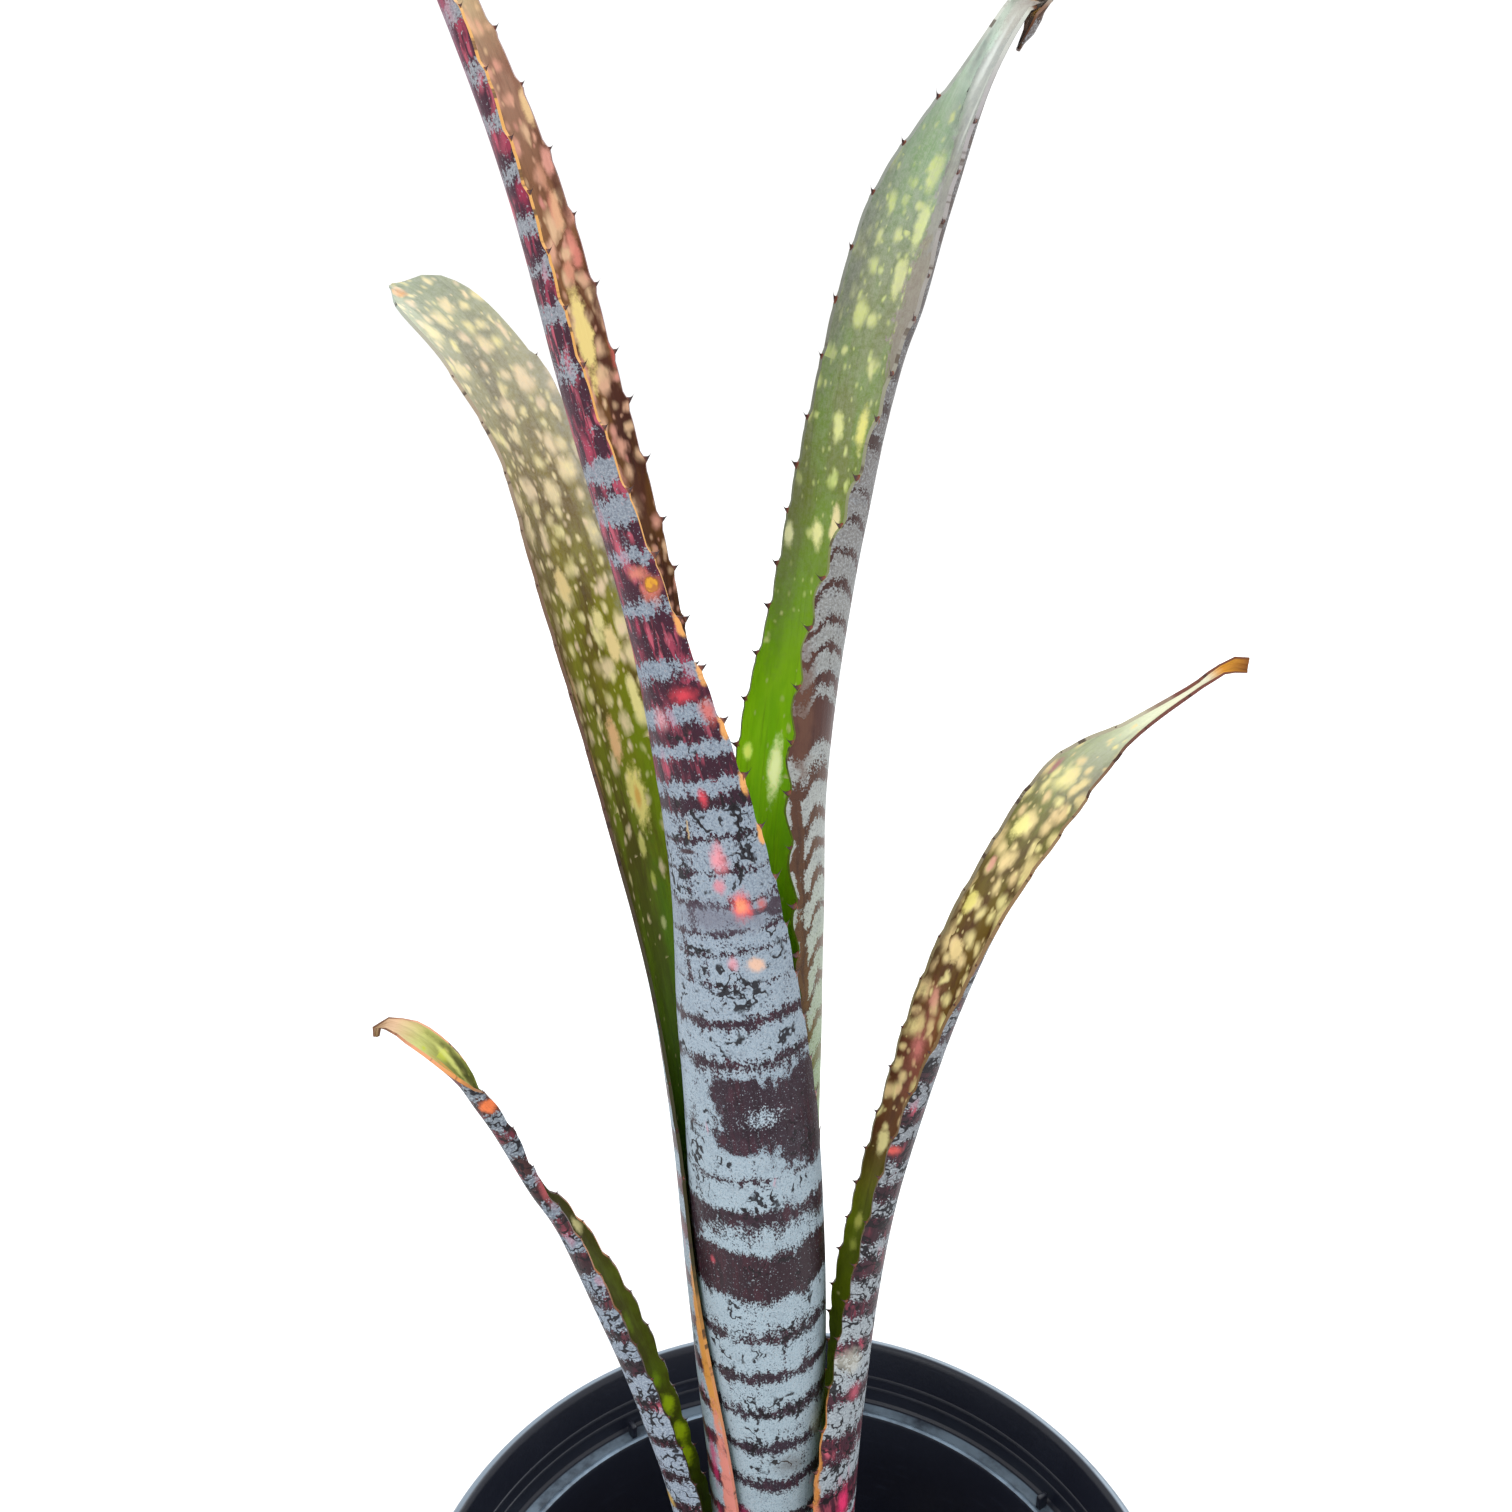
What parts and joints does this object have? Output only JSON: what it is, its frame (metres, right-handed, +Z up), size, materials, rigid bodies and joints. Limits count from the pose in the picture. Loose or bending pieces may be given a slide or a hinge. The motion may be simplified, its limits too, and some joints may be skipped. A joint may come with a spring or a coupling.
{
  "type": "potted billbergia",
  "caption": "Billbergia bromeliad: banded and spotted toothed leaves rolled into a tube above a short stem, in potting mix in a round black nursery pot.",
  "frame": {"origin": "middle of the pot's flat underside", "axes": "+Z up, towards the leaf tips; -Y towards the side that the picture was taken from; +X to the right in the picture"},
  "size_m": [0.156, 0.156, 0.4552],
  "materials": {
    "pot_plastic": "black moulded plastic with a soft sheen",
    "potting_mix": "damp bark and fibre",
    "stem": "dry leaf scars",
    "leaf_front": "maroon with silver scale bands, satin",
    "leaf_back_right": "green with cream spots inside and silver bands outside, satin",
    "leaf_back_left": "olive with cream and pink spots, satin",
    "leaf_right": "brown and olive with cream spots, satin",
    "leaf_left": "grey and maroon outside, olive inside, satin"
  },
  "bodies": {
    "root": {"pot": "pot_plastic", "potting_mix": "potting_mix", "stem": "stem", "leaf_front": "leaf_front", "leaf_back_right": "leaf_back_right", "leaf_back_left": "leaf_back_left", "leaf_right": "leaf_right", "leaf_left": "leaf_left"}
  },
  "joints": []
}
